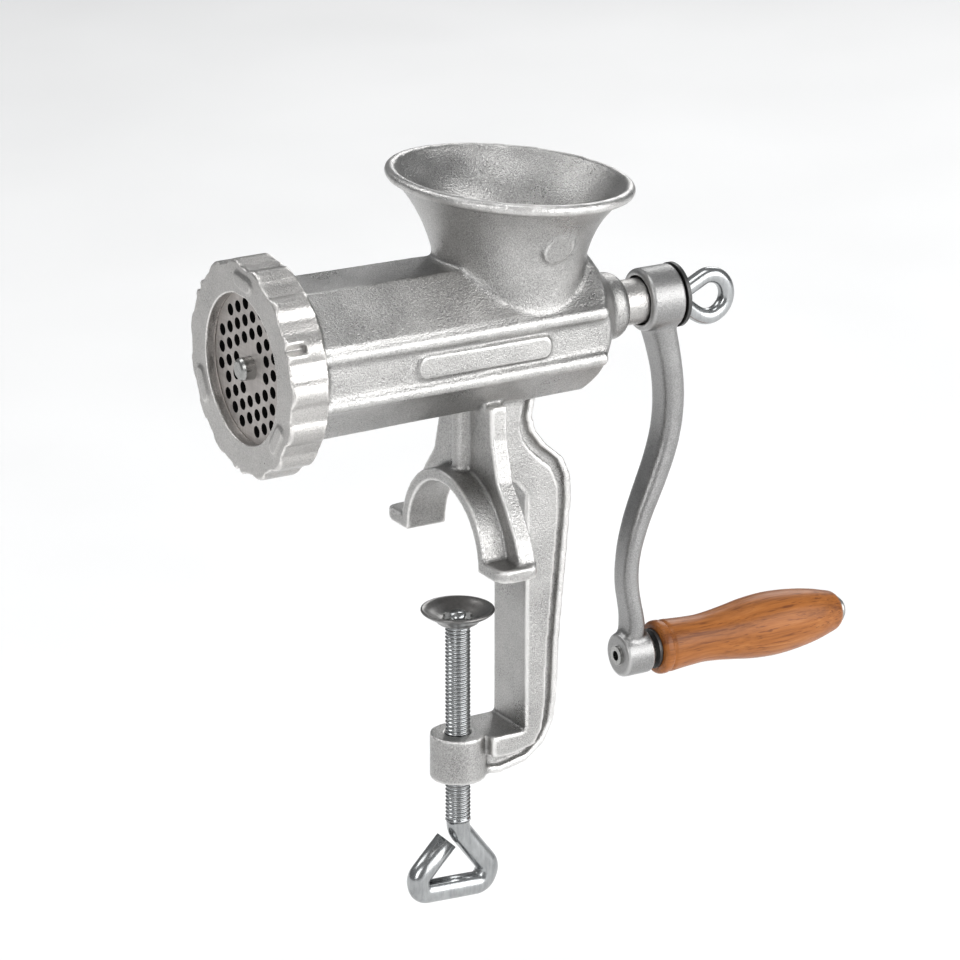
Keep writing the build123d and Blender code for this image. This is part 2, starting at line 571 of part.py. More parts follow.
# ---- build --------------------------------------------------------------------------------
save(body_casting(), "body_casting")
save(key_pin(), "disc_key_pin")
save(ring_nut(), "ring_nut")
save(perforated_disc(), "perforated_disc")
save(cross_knife(), "cross_knife")
save(auger_stud(), "auger_stud")
save(feed_screw(), "feed_screw")
save(thrust_washer(), "thrust_washer")
save(crank_arm(), "crank_arm")
save(crank_washer(), "crank_washer")
save(eye_screw(), "crank_eye_screw")
save(grip_axle(), "grip_axle")
save(grip_washer(GRIP_START - GRIP_WASHER_SPAN, 7.6), "grip_inner_washer")
save(grip_washer(GRIP_START + GRIP_LENGTH + 0.3, 5.2), "grip_end_washer")
save(wooden_grip(), "wooden_grip")
save(clamp_screw(), "clamp_screw")
save(clamp_pad(), "clamp_pad")
save(pad_lock_washer(), "pad_lock_washer")
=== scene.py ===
"""Looks of the hand crank meat grinder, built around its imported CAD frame. Metres, +Z up."""
import json
from math import cos, radians, sin, tau

import bmesh
import bpy
import numpy as np
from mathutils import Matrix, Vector
from mathutils.bvhtree import BVHTree

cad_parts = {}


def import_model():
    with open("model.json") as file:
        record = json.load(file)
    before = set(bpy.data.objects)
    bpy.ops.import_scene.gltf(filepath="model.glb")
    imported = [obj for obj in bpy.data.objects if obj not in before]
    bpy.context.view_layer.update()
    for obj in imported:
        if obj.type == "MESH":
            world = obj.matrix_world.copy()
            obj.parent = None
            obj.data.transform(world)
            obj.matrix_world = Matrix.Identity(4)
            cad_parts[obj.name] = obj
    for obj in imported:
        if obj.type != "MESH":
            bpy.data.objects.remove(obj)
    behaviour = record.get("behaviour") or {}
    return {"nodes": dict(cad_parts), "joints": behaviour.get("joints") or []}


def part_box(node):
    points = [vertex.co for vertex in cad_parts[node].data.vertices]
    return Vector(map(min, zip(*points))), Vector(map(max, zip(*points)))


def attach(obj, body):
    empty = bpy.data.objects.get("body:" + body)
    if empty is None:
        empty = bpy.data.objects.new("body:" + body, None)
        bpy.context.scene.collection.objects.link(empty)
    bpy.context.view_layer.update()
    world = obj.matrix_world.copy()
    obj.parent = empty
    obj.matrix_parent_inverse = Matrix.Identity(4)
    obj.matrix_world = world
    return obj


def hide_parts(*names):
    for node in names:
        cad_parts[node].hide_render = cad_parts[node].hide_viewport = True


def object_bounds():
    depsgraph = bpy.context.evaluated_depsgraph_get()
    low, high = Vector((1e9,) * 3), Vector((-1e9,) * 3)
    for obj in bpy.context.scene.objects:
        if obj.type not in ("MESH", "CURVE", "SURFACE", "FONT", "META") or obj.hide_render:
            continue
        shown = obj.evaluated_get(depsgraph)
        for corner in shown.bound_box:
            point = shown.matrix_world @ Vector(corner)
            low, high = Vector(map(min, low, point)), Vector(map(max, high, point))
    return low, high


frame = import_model()
cad_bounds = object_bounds()
MM = 0.001

# ---- places read from the frame -----------------------------------------------------------
JOINTS = {joint["name"]: joint for joint in frame["joints"]}
AXIS_Z = JOINTS["crank_spin"]["pos_m"][2]
GRIP_Z = JOINTS["grip_spin"]["pos_m"][2]
CASTING_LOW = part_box("body_casting")[0]
RING_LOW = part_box("ring_nut")[0]
GRIP_LOW, GRIP_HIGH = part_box("wooden_grip")
PAD_LOW, PAD_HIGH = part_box("clamp_pad")
SCREW_LOW, SCREW_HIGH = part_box("clamp_screw")

# ---- castings: how fine their meshes are and how they are smoothed -------------------------
CAST_VOXEL = 0.72 * MM       # mesh size of the body casting
FINE_VOXEL = 0.5 * MM        # mesh size of the ring nut and the crank arm
EDGE_ROUNDS = 3              # smoothing passes on the body's outer edges
FILLET_ROUNDS = 7            # smoothing passes in its inner corners, which build the cast fillets
NECK_ROUNDS = 26             # and where the hopper meets the barrel, which has the widest fillet
SHARP_ROUNDS = 3             # and low on the clamp frame and round the hopper's boss, which are crisp
RING_EDGE_ROUNDS = 2
RING_ROUNDS = 4
CRANK_EDGE_ROUNDS = 5
CRANK_ROUNDS = 40
EDGE_SPREAD = 3              # smoothing passes of the measured edges, which set how wide they look
WAVE_DEPTH = 0.09 * MM       # unevenness of a cast face
WAVE_LENGTH = 11 * MM
WAVE_COUNT = 24
HOPPER_X = 21.6 * MM         # middle of the hopper along the barrel
NECK_LOW = 15 * MM           # the wide fillet lies between these heights above the barrel's axis
NECK_HIGH = 30 * MM
NECK_HALF_LENGTH = 42 * MM
CLAMP_TOP = -16 * MM         # below this height the clamp frame is crisp
BOSS_PLACE = Vector((23.5 * MM, -31.1 * MM, 117.5 * MM))    # middle of the hopper's round boss
BOSS_REACH = 9.5 * MM

# ---- castings: machined faces, which stay exactly on the CAD surface -----------------------
CHAMBER_R = 33.5 * MM        # the barrel's front end, with the disc's seat
CHAMBER_LENGTH = 16 * MM
BORE_R = 24.5 * MM
BORE_END = 44 * MM
BEARING_R = 9.2 * MM         # the rear bearing
BEARING_START = 40 * MM
SCREW_HOLE_R = 5.6 * MM      # the clamp screw's hole, on the Z axis
SCREW_HOLE_TOP = -60 * MM
RING_THREAD_R = 36.0 * MM    # the ring nut's thread, behind its front rim
RING_RIM = 4.0 * MM
HUB_SEAT_R = 9.8 * MM        # the crank's square and counterbore
AXLE_HOLE_R = 3.8 * MM

# ---- turned, rolled and pressed pieces -----------------------------------------------------
LATHE_STEPS = 96             # points round a turned piece
LINE_STEPS = 6               # points between two keys of the grip's outline
GRIP_BORE_R = 3.1 * MM
THREAD_PITCH = 1.5 * MM
THREAD_R = 4.7 * MM
THREAD_DEPTH = 0.62 * MM
THREAD_FLANK = 1.25          # over 1 leaves a flat root between the thread's turns
THREAD_ABOVE_LOOP = 31.76 * MM      # from the lowest point of the loop to the thread's end
SPIGOT_LENGTH = 4.5 * MM            # the plain rod end that the pad turns on
PAD_SHEET = 1.6 * MM
PAD_BORE_R = 3.1 * MM
PAD_STEPS = 5                # points between two keys of the pad's outline

# ---- floor and camera ----------------------------------------------------------------------
FLOOR_HALF = 9.0             # metres
FLOOR_DROP = 50 * MM         # room under the object for the clamp screw to come down

CAMERA_AIM = Vector((9.4 * MM, 0, 24.3 * MM))
CAMERA_AZIMUTH = 30.0        # degrees that the camera stands round from the -Y side, towards -X
CAMERA_HEIGHT = 19.3         # degrees above the horizon
CAMERA_DISTANCE = 1.8086     # metres from the aim
CAMERA_LENS = 187.5          # millimetres, for a sensor 36 mm wide


# ---- mesh tools ---------------------------------------------------------------------------
def new_object(name, mesh):
    """Link a mesh into the scene under a name."""
    item = bpy.data.objects.new(name, mesh)
    bpy.context.scene.collection.objects.link(item)
    return item


def points_of(mesh):
    """All vertex positions as an array."""
    co = np.empty(len(mesh.vertices) * 3)
    mesh.vertices.foreach_get("co", co)
    return co.reshape(-1, 3)


def set_points(mesh, co):
    """Write vertex positions back."""
    mesh.vertices.foreach_set("co", np.ascontiguousarray(co).ravel())
    mesh.update()


def normals_of(mesh):
    """Vertex normals as an array."""
    out = np.empty(len(mesh.vertices) * 3)
    mesh.vertex_normals.foreach_get("vector", out)
    return out.reshape(-1, 3)


def bake_modifiers(item):
    """Replace an object's mesh by its evaluated one, and drop the modifiers."""
    graph = bpy.context.evaluated_depsgraph_get()
    mesh = bpy.data.meshes.new_from_object(item.evaluated_get(graph))
    item.modifiers.clear()
    item.data = mesh


def remeshed(node, name, voxel):
    """An even mesh of a CAD node, fine enough to smooth."""
    item = new_object(name, frame["nodes"][node].data.copy())
    modifier = item.modifiers.new("even", "REMESH")
    modifier.mode = "VOXEL"
    modifier.voxel_size = voxel
    modifier.adaptivity = 0
    bpy.context.view_layer.update()
    bake_modifiers(item)
    item.data.materials.clear()
    return item


def neighbour_average(mesh):
    """A function that gives each point the average of its neighbours' values."""
    edges = np.empty(len(mesh.edges) * 2, dtype=np.int64)
    mesh.edges.foreach_get("vertices", edges)
    a, b = edges.reshape(-1, 2).T
    count = len(mesh.vertices)
    degree = np.maximum(np.bincount(a, minlength=count) + np.bincount(b, minlength=count), 1)
    return lambda values: (np.bincount(a, values[b], count) + np.bincount(b, values[a], count)) / degree


def mark_edges(item, voxel):
    """Store how far each point stands out from the surface round it: above 0 on edges, below in hollows."""
    mesh = item.data
    average = neighbour_average(mesh)
    co = points_of(mesh)
    around = np.stack([average(co[:, axis]) for axis in range(3)], axis=1)
    stand = np.einsum("ij,ij->i", co - around, normals_of(mesh)) / voxel
    for _ in range(EDGE_SPREAD):
        stand = (stand + average(stand)) / 2
    mesh.attributes.new("edge", "FLOAT", "POINT").data.foreach_set("value", stand.astype(np.float32))


def waves(co, size, seed):
    """Smooth unevenness between -1 and 1, a sum of plane waves."""
    rng = np.random.default_rng(seed)
    total = np.zeros(len(co))
    for _ in range(WAVE_COUNT):
        direction = rng.normal(size=3)
        direction /= np.linalg.norm(direction)
        length = size * rng.uniform(0.6, 1.9)
        total += np.sin(co @ direction * tau / length + rng.uniform(0, tau))
    return np.clip(total / (WAVE_COUNT / 3), -1, 1)


def cast_smooth(item, node, edge_rounds, rounds_at, machined, seed):
    """Round the edges a little and the inner corners more, as a casting has them.

    rounds_at() gives each point's passes; points that machined() marks stay on the CAD surface.
    """
    mesh = item.data
    co = points_of(mesh)
    start = co.copy()
    average = neighbour_average(mesh)
    rounds = rounds_at(co)
    for number in range(int(rounds.max())):
        pull = np.stack([average(co[:, axis]) for axis in range(3)], axis=1) - co
        normal = normals_of(mesh)
        outward = np.einsum("ij,ij->i", pull, normal)
        sideways = pull - outward[:, None] * normal
        if number >= edge_rounds:
            outward = np.maximum(outward, 0)
        step = 0.5 * (number < rounds)
        co = co + step[:, None] * (sideways + outward[:, None] * normal)
        set_points(mesh, co)
    co = co - normals_of(mesh) * (WAVE_DEPTH * (1 + waves(co, WAVE_LENGTH, seed)) / 2)[:, None]
    keep = np.nonzero(machined(start))[0]
    source = frame["nodes"][node].data
    tree = BVHTree.FromPolygons([v.co for v in source.vertices], [p.vertices for p in source.polygons])
    for index in keep:
        co[index] = tree.find_nearest(Vector(start[index]))[0]
    low, high = (np.array(corner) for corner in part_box(node))
    set_points(mesh, np.clip(co, low, high))
    mesh.polygons.foreach_set("use_smooth", np.ones(len(mesh.polygons), dtype=bool))


def lathe(name, profile, axis_point, axis, steps=LATHE_STEPS):
    """Turn a closed (along, radius) profile about an axis, X or Z, through a point."""
    count = len(profile)
    verts = []
    for step in range(steps):
        angle = tau * step / steps
        for along, radius in profile:
            first, second = radius * cos(angle), radius * sin(angle)
            if axis == "X":
                verts.append((along, axis_point[1] + first, axis_point[2] + second))
            else:
                verts.append((axis_point[0] + first, axis_point[1] + second, along))
    faces = []
    for step in range(steps):
        here, after = step * count, (step + 1) % steps * count
        for i in range(count):
            j = (i + 1) % count
            faces.append((here + i, here + j, after + j, after + i))
    return solid_mesh(name, verts, faces)


def solid_mesh(name, verts, faces):
    """A smooth closed mesh with its normals outside."""
    mesh = bpy.data.meshes.new(name)
    mesh.from_pydata(verts, [], faces)
    item = new_object(name, mesh)
    work = bmesh.new()
    work.from_mesh(mesh)
    bmesh.ops.recalc_face_normals(work, faces=work.faces)
    work.to_mesh(mesh)
    work.free()
    mesh.polygons.foreach_set("use_smooth", np.ones(len(mesh.polygons), dtype=bool))
    return item


# ---- materials ----------------------------------------------------------------------------
class Nodes:
    """Short calls for building one material's node tree."""

    def __init__(self, name):
        self.material = bpy.data.materials.new(name)
        self.material.use_nodes = True
        self.tree = self.material.node_tree
        self.shader = self.tree.nodes["Principled BSDF"]
        self.place = self.add("ShaderNodeTexCoord").outputs["Object"]

    def add(self, kind, **values):
        node = self.tree.nodes.new(kind)
        for key, value in values.items():
            setattr(node, key, value)
        return node

    def link(self, source, target):
        self.tree.links.new(source, target)

    def noise(self, scale, detail=3.0, rough=0.55, stretch=(1, 1, 1), distortion=0.0):
        mapping = self.add("ShaderNodeMapping")
        mapping.inputs["Scale"].default_value = stretch
        self.link(self.place, mapping.inputs["Vector"])
        node = self.add("ShaderNodeTexNoise")
        node.inputs["Scale"].default_value = scale
        node.inputs["Detail"].default_value = detail
        node.inputs["Roughness"].default_value = rough
        node.inputs["Distortion"].default_value = distortion
        self.link(mapping.outputs[0], node.inputs["Vector"])
        return node.outputs["Fac"]

    def ramp(self, source, *stops):
        """Colour or value along a factor; each stop is (position, colour or value)."""
        node = self.add("ShaderNodeValToRGB")
        elements = node.color_ramp.elements
        while len(elements) < len(stops):
            elements.new(0.5)
        for element, (position, value) in zip(elements, stops):
            element.position = position
            element.color = (*value, 1) if isinstance(value, tuple) else (value, value, value, 1)
        self.link(source, node.inputs["Fac"])
        return node.outputs["Color"]

    def math(self, operation, first, second):
        node = self.add("ShaderNodeMath", operation=operation)
        for socket, value in zip(node.inputs, (first, second)):
            if isinstance(value, (int, float)):
                socket.default_value = value
            else:
                self.link(value, socket)
        return node.outputs[0]

    def mix(self, factor, first, second):
        node = self.add("ShaderNodeMix", data_type="RGBA")
        for socket, value in ((node.inputs[0], factor), (node.inputs[6], first), (node.inputs[7], second)):
            if isinstance(value, tuple):
                socket.default_value = (*value, 1)
            elif isinstance(value, (int, float)):
                socket.default_value = value if socket is node.inputs[0] else (value, value, value, 1)
            else:
                self.link(value, socket)
        return node.outputs[2]

    def bump(self, height, strength, distance, after=None):
        node = self.add("ShaderNodeBump")
        node.inputs["Strength"].default_value = strength
        node.inputs["Distance"].default_value = distance
        self.link(height, node.inputs["Height"])
        if after is not None:
            self.link(after, node.inputs["Normal"])
        return node.outputs[0]

    def edge(self):
        """What mark_edges() stored; 0 on a mesh without it."""
        return self.add("ShaderNodeAttribute", attribute_name="edge").outputs["Fac"]

    def pointiness(self, low, high):
        """0 in hollows, 1 on edges."""
        node = self.add("ShaderNodeNewGeometry")
        span = self.add("ShaderNodeMapRange")
        span.inputs["From Min"].default_value = low
        span.inputs["From Max"].default_value = high
        self.link(node.outputs["Pointiness"], span.inputs["Value"])
        return span.outputs[0]


def tinned_iron(name, dark, light, grain, rough):
    """Tin-plated cast iron: the sand's grain under the plating, a painted highlight on the edges, painted
    shade in the hollows.
    """
    n = Nodes(name)
    fine = n.noise(2100, 2.0, 0.6)
    coarse = n.noise(1050, 2.0, 0.65)
    broad = n.noise(60, 3.0, 0.5)
    tone = n.math("ADD", n.math("MULTIPLY", coarse, 0.35), n.math("MULTIPLY", broad, 0.65))
    sparkle = n.math("ADD", n.math("MULTIPLY", fine, 0.55), n.math("MULTIPLY", tone, 0.45))
    colour = n.ramp(sparkle, (0.36, dark), (0.64, light))
    edge = n.edge()
    # Edges painted lighter: a painted highlight.
    highlit = n.mix(n.ramp(edge, (0.03, 0.0), (0.09, 0.85)), colour, tuple(min(1.0, c * 1.6) for c in light))
    # Hollows painted darker: painted shade.
    hollow = n.math("MULTIPLY", edge, -1.0)
    shaded = n.mix(n.ramp(hollow, (0.02, 0.0), (0.08, 0.6)), highlit, tuple(c * 0.5 for c in dark))
    n.link(shaded, n.shader.inputs["Base Color"])
    n.shader.inputs["Metallic"].default_value = 1.0
    n.link(n.ramp(tone, (0.3, rough - 0.05), (0.7, rough + 0.07)), n.shader.inputs["Roughness"])
    first = n.bump(coarse, 1.0, 0.16 * MM * grain)
    n.link(n.bump(fine, 1.0, 0.11 * MM * grain, first), n.shader.inputs["Normal"])
    return n.material


def bright_steel(name, colour, rough, stretch, streak=0.5):
    """Drawn, plated or pressed steel with fine marks, which stretch can draw out into streaks."""
    n = Nodes(name)
    streaks = n.noise(900, 3.0, 0.6, stretch)
    patches = n.noise(110, 3.0, 0.55)
    tone = n.math("ADD", n.math("MULTIPLY", streaks, streak), n.math("MULTIPLY", patches, 1 - streak))
    dull, clean = tuple(c * 0.7 for c in colour), tuple(min(1.0, c * 1.15) for c in colour)
    n.link(n.ramp(tone, (0.3, dull), (0.68, clean)), n.shader.inputs["Base Color"])
    n.shader.inputs["Metallic"].default_value = 1.0
    n.link(n.ramp(tone, (0.3, rough + 0.07), (0.7, rough - 0.04)), n.shader.inputs["Roughness"])
    n.link(n.bump(streaks, 0.25, 0.05 * MM), n.shader.inputs["Normal"])
    return n.material


def ground_disc(name):
    """Ground steel face with faint scratches both ways; the walls of its holes are painted near black as
    painted shade.
    """
    n = Nodes(name)
    across = n.noise(1500, 2.0, 0.6, (1, 0.05, 1))
    upright = n.noise(1500, 2.0, 0.6, (1, 1, 0.05))
    patches = n.noise(90, 4.0, 0.6)
    scratches = n.math("MULTIPLY", n.math("ADD", across, upright), 0.28)
    tone = n.math("ADD", scratches, n.math("MULTIPLY", patches, 0.44))
    face = n.ramp(tone, (0.36, (0.36, 0.335, 0.32)), (0.64, (0.53, 0.50, 0.48)))
    split = n.add("ShaderNodeSeparateXYZ")
    n.link(n.add("ShaderNodeTexCoord").outputs["Normal"], split.inputs[0])
    # Faces turned away from X, the hole walls, get near-black colour: painted shade.
    wall = n.ramp(n.math("ABSOLUTE", split.outputs[0], 0.0), (0.3, 1.0), (0.75, 0.0))
    n.link(n.mix(wall, face, (0.004, 0.004, 0.004)), n.shader.inputs["Base Color"])
    n.shader.inputs["Metallic"].default_value = 0.7
    n.link(n.mix(wall, n.ramp(tone, (0.3, 0.5), (0.7, 0.4)), 0.9), n.shader.inputs["Roughness"])
    n.link(n.bump(across, 0.2, 0.04 * MM), n.shader.inputs["Normal"])
    return n.material


def varnished_beech(name):
    """Orange-brown beech: growth bands, short dark pores along the grain, clear varnish."""
    n = Nodes(name)
    bands = n.noise(70, 4.0, 0.6, (0.07, 1, 1), 0.6)
    fibres = n.noise(1000, 3.0, 0.65, (0.03, 1, 1))
    pores = n.noise(1500, 2.0, 0.5, (0.05, 1, 1))
    tone = n.math("ADD", n.math("MULTIPLY", bands, 0.6), n.math("MULTIPLY", fibres, 0.4))
    wood = n.ramp(tone, (0.36, (0.14, 0.040, 0.008)), (0.46, (0.25, 0.082, 0.016)),
                  (0.55, (0.33, 0.112, 0.024)), (0.68, (0.43, 0.17, 0.046)))
    pitted = n.mix(n.ramp(pores, (0.30, 0.7), (0.41, 0.0)), wood, (0.10, 0.024, 0.006))
    edge = n.pointiness(0.44, 0.5)
    shaded = n.mix(n.ramp(edge, (0.0, 0.7), (0.6, 0.0)), pitted, (0.06, 0.015, 0.004))
    n.link(shaded, n.shader.inputs["Base Color"])
    n.link(n.ramp(fibres, (0.3, 0.45), (0.7, 0.34)), n.shader.inputs["Roughness"])
    n.shader.inputs["Specular IOR Level"].default_value = 0.25
    n.shader.inputs["Coat Weight"].default_value = 0.1
    n.shader.inputs["Coat Roughness"].default_value = 0.2
    n.link(n.bump(fibres, 0.3, 0.1 * MM), n.shader.inputs["Normal"])
    return n.material


CAST = tinned_iron("tinned_iron", (0.25, 0.247, 0.242), (0.54, 0.533, 0.523), 1.0, 0.3)
CAST_FINE = tinned_iron("tinned_iron_fine", (0.35, 0.342, 0.333), (0.56, 0.547, 0.532), 0.75, 0.3)
CRANK_CAST = tinned_iron("tinned_iron_crank", (0.24, 0.238, 0.236), (0.37, 0.368, 0.365), 0.6, 0.34)
DISC = ground_disc("ground_disc")
TURNED = bright_steel("turned_steel", (0.40, 0.40, 0.39), 0.26, (0.06, 1, 1))
ZINC = bright_steel("zinc_steel", (0.40, 0.41, 0.415), 0.22, (1, 1, 0.08))
PAD_STEEL = bright_steel("pad_steel", (0.23, 0.225, 0.22), 0.31, (1, 1, 1), 0.4)
# Near-black steel, much darker than the other steel parts; it darkens the washers at the back of the crank
# hub and at the grip's inner end.
WASHER_STEEL = bright_steel("washer_steel", (0.10, 0.10, 0.10), 0.4, (1, 1, 1), 0.4)
WOOD = varnished_beech("varnished_beech")


def finish_piece(item, node, body, material):
    """Give a piece its material, attach it to the body it moves with, and hide the CAD node it stands for.
    """
    item.data.materials.clear()
    item.data.materials.append(material)
    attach(item, body)
    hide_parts(node)


# ---- castings -----------------------------------------------------------------------------
def distance_to_x_axis(co, z):
    """Distance from an axis along X at height z."""
    return np.hypot(co[:, 1], co[:, 2] - z)


def casting_machined(co):
    """The bore, the disc's seat, the rear bearing and the screw hole stay exact."""
    reach = distance_to_x_axis(co, AXIS_Z)
    chamber = (reach < CHAMBER_R) & (co[:, 0] < CASTING_LOW.x + CHAMBER_LENGTH)
    bore = (reach < BORE_R) & (co[:, 0] < BORE_END)
    bearing = (reach < BEARING_R) & (co[:, 0] > BEARING_START)
    hole = (np.hypot(co[:, 0], co[:, 1]) < SCREW_HOLE_R) & (co[:, 2] < SCREW_HOLE_TOP)
    return chamber | bore | bearing | hole


def ring_machined(co):
    """The ring's thread and the seat behind its front rim stay exact."""
    return (distance_to_x_axis(co, AXIS_Z) < RING_THREAD_R) & (co[:, 0] > RING_LOW.x + RING_RIM)


def crank_machined(co):
    """The crank's square, counterbore and axle hole stay exact."""
    near_top = distance_to_x_axis(co, AXIS_Z) < HUB_SEAT_R
    near_bottom = distance_to_x_axis(co, GRIP_Z) < AXLE_HOLE_R
    return near_top | near_bottom


def casting_rounds(co):
    """More passes where the hopper grows out of the barrel, fewer on the crisp places."""
    height = co[:, 2] - AXIS_Z
    neck = (height > NECK_LOW) & (height < NECK_HIGH) & (np.abs(co[:, 0] - HOPPER_X) < NECK_HALF_LENGTH)
    boss = np.linalg.norm(co - np.array(BOSS_PLACE), axis=1) < BOSS_REACH
    rounds = np.where(neck, NECK_ROUNDS, FILLET_ROUNDS)
    return np.where(boss | (co[:, 2] < CLAMP_TOP), SHARP_ROUNDS, rounds)


def even_rounds(count):
    """The same number of passes all over."""
    return lambda co: np.full(len(co), count)


casting = remeshed("body_casting", "cast_body", CAST_VOXEL)
cast_smooth(casting, "body_casting", EDGE_ROUNDS, casting_rounds, casting_machined, 3)
mark_edges(casting, CAST_VOXEL)
finish_piece(casting, "body_casting", "housing", CAST)

ring = remeshed("ring_nut", "cast_ring_nut", FINE_VOXEL)
cast_smooth(ring, "ring_nut", RING_EDGE_ROUNDS, even_rounds(RING_ROUNDS), ring_machined, 5)
mark_edges(ring, FINE_VOXEL)
finish_piece(ring, "ring_nut", "ring", CAST_FINE)

crank = remeshed("crank_arm", "cast_crank_arm", FINE_VOXEL)
cast_smooth(crank, "crank_arm", CRANK_EDGE_ROUNDS, even_rounds(CRANK_ROUNDS), crank_machined, 7)
mark_edges(crank, FINE_VOXEL)
finish_piece(crank, "crank_arm", "drive", CRANK_CAST)


# ---- wooden grip --------------------------------------------------------------------------
def grip_profile():
    """(x, radius) outline of the turned grip, its groove and its bore.

    A key is a place along the grip, 0 to 1, and its radius as a part of the largest.
    """
    length = GRIP_HIGH.x - GRIP_LOW.x
    largest = (GRIP_HIGH.z - GRIP_LOW.z) / 2
    keys = [(0.0, 0.735), (0.006, 0.80), (0.016, 0.83), (0.03, 0.834), (0.042, 0.822), (0.050, 0.785),
            (0.058, 0.795), (0.07, 0.812), (0.11, 0.79), (0.18, 0.757), (0.25, 0.742), (0.33, 0.785),
            (0.42, 0.864), (0.51, 0.95), (0.61, 0.995), (0.69, 0.98), (0.76, 0.936), (0.83, 0.87),
            (0.89, 0.79), (0.94, 0.70), (0.97, 0.645), (0.985, 0.605), (1.0, 0.535)]
    outline = smooth_line([(GRIP_LOW.x + t * length, r * largest) for t, r in keys], LINE_STEPS)
    return outline + [(GRIP_HIGH.x, GRIP_BORE_R), (GRIP_LOW.x, GRIP_BORE_R)]


def smooth_line(keys, per_span):
    """Points of a Catmull-Rom curve through (a, b) pairs, its ends kept."""
    pts = [keys[0]] + list(keys) + [keys[-1]]
    out = []
    for i in range(1, len(pts) - 2):
        p0, p1, p2, p3 = (np.array(pts[i + k]) for k in (-1, 0, 1, 2))
        for step in range(per_span):
            t = step / per_span
            out.append(tuple(0.5 * (2 * p1 + (p2 - p0) * t + (2 * p0 - 5 * p1 + 4 * p2 - p3) * t ** 2
                                    + (3 * p1 - p0 - 3 * p2 + p3) * t ** 3)))
    return out + [keys[-1]]


grip = lathe("turned_grip", grip_profile(), (0, 0, GRIP_Z), "X")
finish_piece(grip, "wooden_grip", "grip", WOOD)


# ---- clamp screw --------------------------------------------------------------------------
def thread_tube(name, low, high, radius, depth, pitch, steps=40, per_turn=12):
    """A closed rod along Z with a helical V thread."""
    rows = int((high - low) / pitch * per_turn)
    verts = []
    for row in range(rows + 1):
        z = low + (high - low) * row / rows
        fade = min(1.0, (z - low) / pitch, (high - z) / pitch)
        for step in range(steps):
            angle = tau * step / steps
            phase = ((z - low) / pitch - step / steps) % 1.0
            r = radius - depth * fade * min(1.0, THREAD_FLANK * abs(2 * phase - 1))
            verts.append((r * cos(angle), r * sin(angle), z))
    faces = []
    for row in range(rows):
        below, above = row * steps, (row + 1) * steps
        for step in range(steps):
            j = (step + 1) % steps
            faces.append((below + step, below + j, above + j, above + step))
    faces.append(tuple(reversed(range(steps))))
    faces.append(tuple(rows * steps + step for step in range(steps)))
    return solid_mesh(name, verts, faces)


def cut_copy(node, name, keep):
    """A closed copy of the part of a CAD node for whose faces keep(centre) is true."""
    item = new_object(name, frame["nodes"][node].data.copy())
    work = bmesh.new()
    work.from_mesh(item.data)
    bmesh.ops.remove_doubles(work, verts=work.verts, dist=0.001 * MM)
    gone = [face for face in work.faces if not keep(face.calc_center_median())]
    bmesh.ops.delete(work, geom=gone, context="FACES")
    bmesh.ops.holes_fill(work, edges=[edge for edge in work.edges if edge.is_boundary], sides=0)
    bmesh.ops.recalc_face_normals(work, faces=work.faces)
    work.to_mesh(item.data)
    work.free()
    item.data.polygons.foreach_set("use_smooth", np.ones(len(item.data.polygons), dtype=bool))
    return item


THREAD_LOW = SCREW_LOW.z + THREAD_ABOVE_LOOP
THREAD_HIGH = SCREW_HIGH.z - SPIGOT_LENGTH
for piece in (thread_tube("rolled_thread", THREAD_LOW, THREAD_HIGH, THREAD_R, THREAD_DEPTH, THREAD_PITCH),
              cut_copy("clamp_screw", "screw_loop", lambda centre: centre.z < THREAD_LOW + 0.1 * MM),
              cut_copy("clamp_screw", "screw_spigot", lambda centre: centre.z > THREAD_HIGH + 0.1 * MM)):
    finish_piece(piece, "clamp_screw", "screw", ZINC)


def pad_profile():
    """(z, radius) outline of the pressed pad: broad lip, raised ring, recess round the socket."""
    top, under, rim = PAD_HIGH.z, PAD_LOW.z, PAD_HIGH.x
    low = under + PAD_SHEET
    upper = [(low, PAD_BORE_R), (low, 5.0 * MM), (low + 0.5 * MM, 6.6 * MM), (low + 1.7 * MM, 8.7 * MM),
             (top - 1.5 * MM, 10.4 * MM), (top - 0.35 * MM, 12.0 * MM), (top, 12.9 * MM),
             (top - 0.15 * MM, rim - 0.15 * MM), (top - 0.6 * MM, rim)]
    lower = [(top - 0.9 * MM, rim - 0.2 * MM), (top - 1.9 * MM, 12.2 * MM), (low + 0.7 * MM, 9.4 * MM),
             (under + 0.6 * MM, 7.6 * MM), (under, 6.2 * MM), (under, PAD_BORE_R)]
    return smooth_line(upper, PAD_STEPS) + smooth_line(lower, PAD_STEPS)


pad = lathe("pressed_pad", pad_profile(), (0, 0, 0), "Z")
finish_piece(pad, "clamp_pad", "pad", PAD_STEEL)


# ---- finishes of the CAD nodes that stay ---------------------------------------------------
NODE_MATERIALS = {
    "perforated_disc": DISC, "cross_knife": DISC, "feed_screw": CAST_FINE, "auger_stud": TURNED,
    "disc_key_pin": TURNED, "thrust_washer": TURNED, "crank_washer": WASHER_STEEL, "crank_eye_screw": ZINC,
    "grip_axle": TURNED, "grip_inner_washer": WASHER_STEEL, "grip_end_washer": TURNED,
    "pad_lock_washer": TURNED,
}
for node, material in NODE_MATERIALS.items():
    mesh = frame["nodes"][node].data
    mesh.materials.clear()
    mesh.materials.append(material)


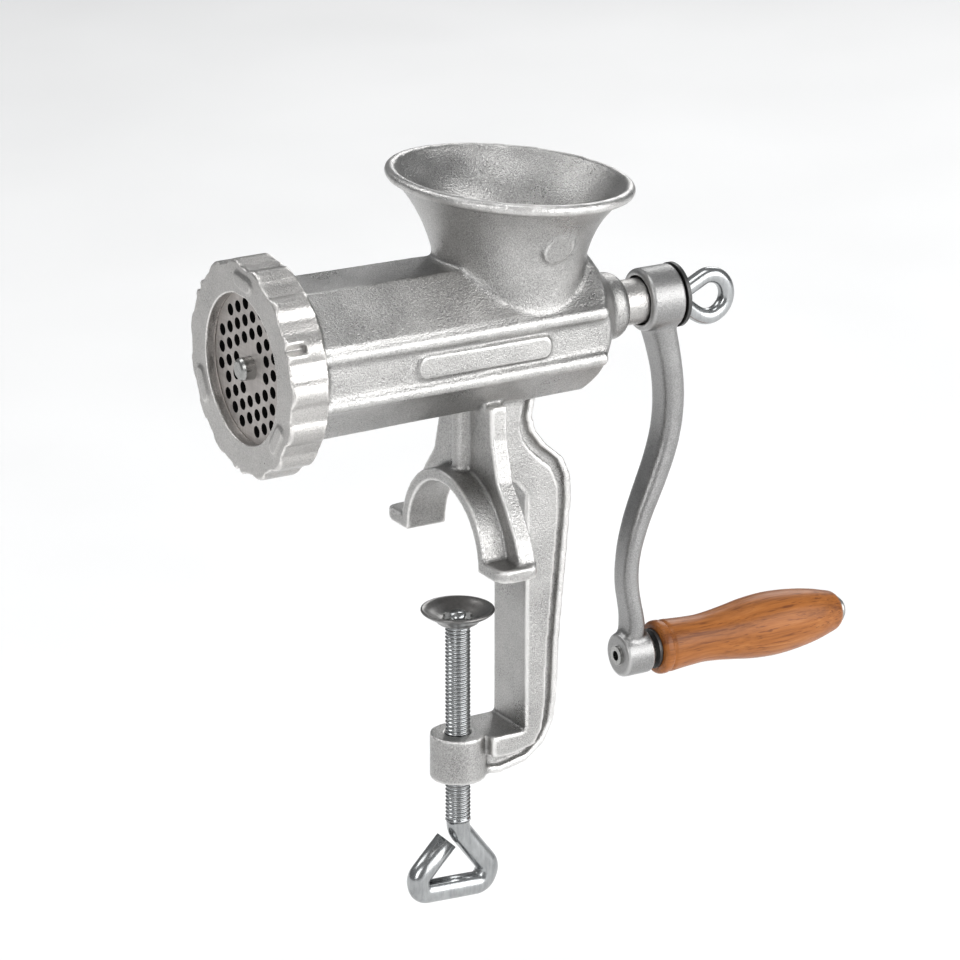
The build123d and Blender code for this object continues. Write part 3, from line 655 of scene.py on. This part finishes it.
# ---- floor, light and camera --------------------------------------------------------------
def floor():
    """Plain pale floor below the object."""
    half, z = FLOOR_HALF, cad_bounds[0][2] - FLOOR_DROP
    corners = [(-half, -half, z), (half, -half, z), (half, half, z), (-half, half, z)]
    mesh = bpy.data.meshes.new("floor")
    mesh.from_pydata(corners, [], [(0, 1, 2, 3)])
    item = new_object("floor", mesh)
    n = Nodes("pale_floor")
    n.link(n.ramp(n.noise(6, 3.0), (0.3, 0.88), (0.7, 0.93)), n.shader.inputs["Base Color"])
    n.shader.inputs["Roughness"].default_value = 0.9
    n.shader.inputs["Emission Color"].default_value = (1, 1, 1, 1)
    n.shader.inputs["Emission Strength"].default_value = 0.12
    mesh.materials.append(n.material)


def area_light(name, place, size, power, aim=(0.02, 0, 0.03)):
    """A soft square lamp pointed at the object."""
    light = bpy.data.lights.new(name, "AREA")
    light.shape = "RECTANGLE"
    light.size, light.size_y = size
    light.energy = power
    item = bpy.data.objects.new(name, light)
    item.location = place
    item.rotation_euler = (Vector(aim) - Vector(place)).to_track_quat("-Z", "Y").to_euler()
    bpy.context.scene.collection.objects.link(item)


def world():
    """Grey studio, a little brighter overhead."""
    studio = bpy.data.worlds.new("studio")
    bpy.context.scene.world = studio
    studio.use_nodes = True
    tree = studio.node_tree
    background = tree.nodes["Background"]
    place = tree.nodes.new("ShaderNodeTexCoord")
    split = tree.nodes.new("ShaderNodeSeparateXYZ")
    ramp = tree.nodes.new("ShaderNodeValToRGB")
    tree.links.new(place.outputs["Generated"], split.inputs[0])
    tree.links.new(split.outputs[2], ramp.inputs["Fac"])
    tree.links.new(ramp.outputs["Color"], background.inputs["Color"])
    low, high = ramp.color_ramp.elements
    low.position, low.color = 0.0, (0.2, 0.203, 0.206, 1)
    high.position, high.color = 1.0, (0.36, 0.366, 0.372, 1)
    background.inputs["Strength"].default_value = 1.0


def camera():
    """Camera at the photograph's viewing angle."""
    azimuth, height = radians(CAMERA_AZIMUTH), radians(CAMERA_HEIGHT)
    towards = Vector((-sin(azimuth) * cos(height), -cos(azimuth) * cos(height), sin(height)))
    data = bpy.data.cameras.new("camera")
    data.lens = CAMERA_LENS
    data.sensor_width = 36
    data.clip_start, data.clip_end = 0.05, 60
    item = bpy.data.objects.new("camera", data)
    item.location = CAMERA_AIM + towards * CAMERA_DISTANCE
    item.rotation_euler = (-towards).to_track_quat("-Z", "Y").to_euler()
    bpy.context.scene.collection.objects.link(item)
    bpy.context.scene.camera = item


floor()
world()
area_light("front_right", (0.85, -1.45, 0.6), (2.2, 1.4), 34)
area_light("front_left", (-1.5, -0.9, 0.8), (0.7, 1.1), 11)
area_light("back_left", (-0.8, 0.9, 1.35), (0.8, 0.8), 7)
area_light("back_right", (1.2, 1.2, 0.9), (0.7, 0.9), 6)
area_light("top", (0.1, -0.2, 1.9), (0.7, 0.7), 7)
camera()
bpy.context.scene.view_settings.view_transform = "Standard"
